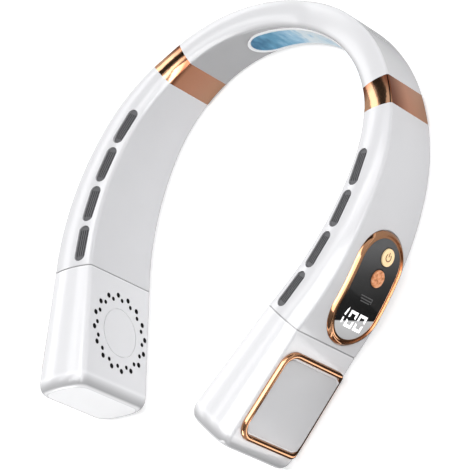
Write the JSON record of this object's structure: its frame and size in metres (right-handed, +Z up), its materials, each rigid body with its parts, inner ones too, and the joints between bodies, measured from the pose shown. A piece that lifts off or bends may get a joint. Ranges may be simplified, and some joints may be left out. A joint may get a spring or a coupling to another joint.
{
  "type": "neck fan",
  "caption": "Horseshoe neck fan worn on the shoulders, with crown vents, a fan in each end, a cooling plate at the nape and a side panel with push buttons.",
  "frame": {"origin": "bottom centre of the bounding box, on the plane that the underside rests on", "axes": "+X right as seen facing the open front, +Y towards the back of the neck, +Z up"},
  "size_m": [0.1799, 0.218, 0.0517],
  "materials": {
    "white_plastic": "glossy moulded white",
    "rose_gold": "polished rose-gold plating",
    "black_panel": "glossy black",
    "cooling_metal": "brushed icy blue anodised",
    "grey_pad": "satin light grey",
    "dark_plastic": "matt dark grey",
    "ceramic": "white ceramic faces",
    "bare_aluminium": "extruded",
    "circuit_board": "green solder resist",
    "steel": "plated",
    "motor_metal": "laminated core and ferrite",
    "battery_wrap": "shrink wrapped",
    "wire_jacket": "soft jacket"
  },
  "bodies": {
    "casing": {"neck_shell": "white_plastic", "neck_bottom_cover": "white_plastic", "cooling_plate_rim": "white_plastic", "left_arm_shell": "white_plastic", "right_arm_shell": "white_plastic", "left_bottom_cover": "white_plastic", "right_bottom_cover": "white_plastic", "left_fan_housing": "white_plastic", "right_fan_housing": "white_plastic", "left_end_cap": "white_plastic", "right_end_cap": "white_plastic", "left_trim_ring": "rose_gold", "right_trim_ring": "rose_gold", "left_cover_frame": "rose_gold", "right_cover_frame": "rose_gold", "panel_bezel": "rose_gold", "display_panel": "black_panel", "cooling_plate": "cooling_metal", "left_cover_plate": "grey_pad", "right_cover_plate": "grey_pad", "left_vent_insert": "dark_plastic", "right_vent_insert": "dark_plastic", "left_fan_scroll": "dark_plastic", "right_fan_scroll": "dark_plastic", "left_motor_bracket": "dark_plastic", "right_motor_bracket": "dark_plastic", "display_module": "dark_plastic", "thermoelectric_module": "ceramic", "heat_sink": "bare_aluminium", "control_board": "circuit_board", "bottom_cover_screws": "steel", "charging_port": "steel", "tact_switches": "steel", "left_motor_stator": "motor_metal", "right_motor_stator": "motor_metal", "left_battery": "battery_wrap", "right_battery": "battery_wrap", "wire_loom": "wire_jacket"},
    "left_fan_rotor": {"left_impeller": "dark_plastic", "left_impeller_shaft": "steel", "left_rotor_magnet": "motor_metal"},
    "right_fan_rotor": {"right_impeller": "dark_plastic", "right_impeller_shaft": "steel", "right_rotor_magnet": "motor_metal"},
    "power_key": {"power_button": "rose_gold"},
    "mode_key": {"mode_button": "rose_gold"}
  },
  "joints": [
    {"name": "right_impeller_spin", "type": "hinge", "parent": "casing", "child": "right_fan_rotor", "pos_m": [0.05693, -0.07246, 0.0243], "axis": [0.9235, -0.3836, 0], "continuous": true},
    {"name": "left_impeller_spin", "type": "hinge", "parent": "casing", "child": "left_fan_rotor", "pos_m": [-0.05693, -0.07246, 0.0243], "axis": [-0.9235, -0.3836, 0], "continuous": true},
    {"name": "power_button_press", "type": "slide", "parent": "casing", "child": "power_key", "axis": [-0.9784, 0.2067, 0], "range_m": [0, 0.0004], "stiffness_N_per_m": 600},
    {"name": "mode_button_press", "type": "slide", "parent": "casing", "child": "mode_key", "axis": [-0.9784, 0.2067, 0], "range_m": [0, 0.0004], "stiffness_N_per_m": 600}
  ]
}
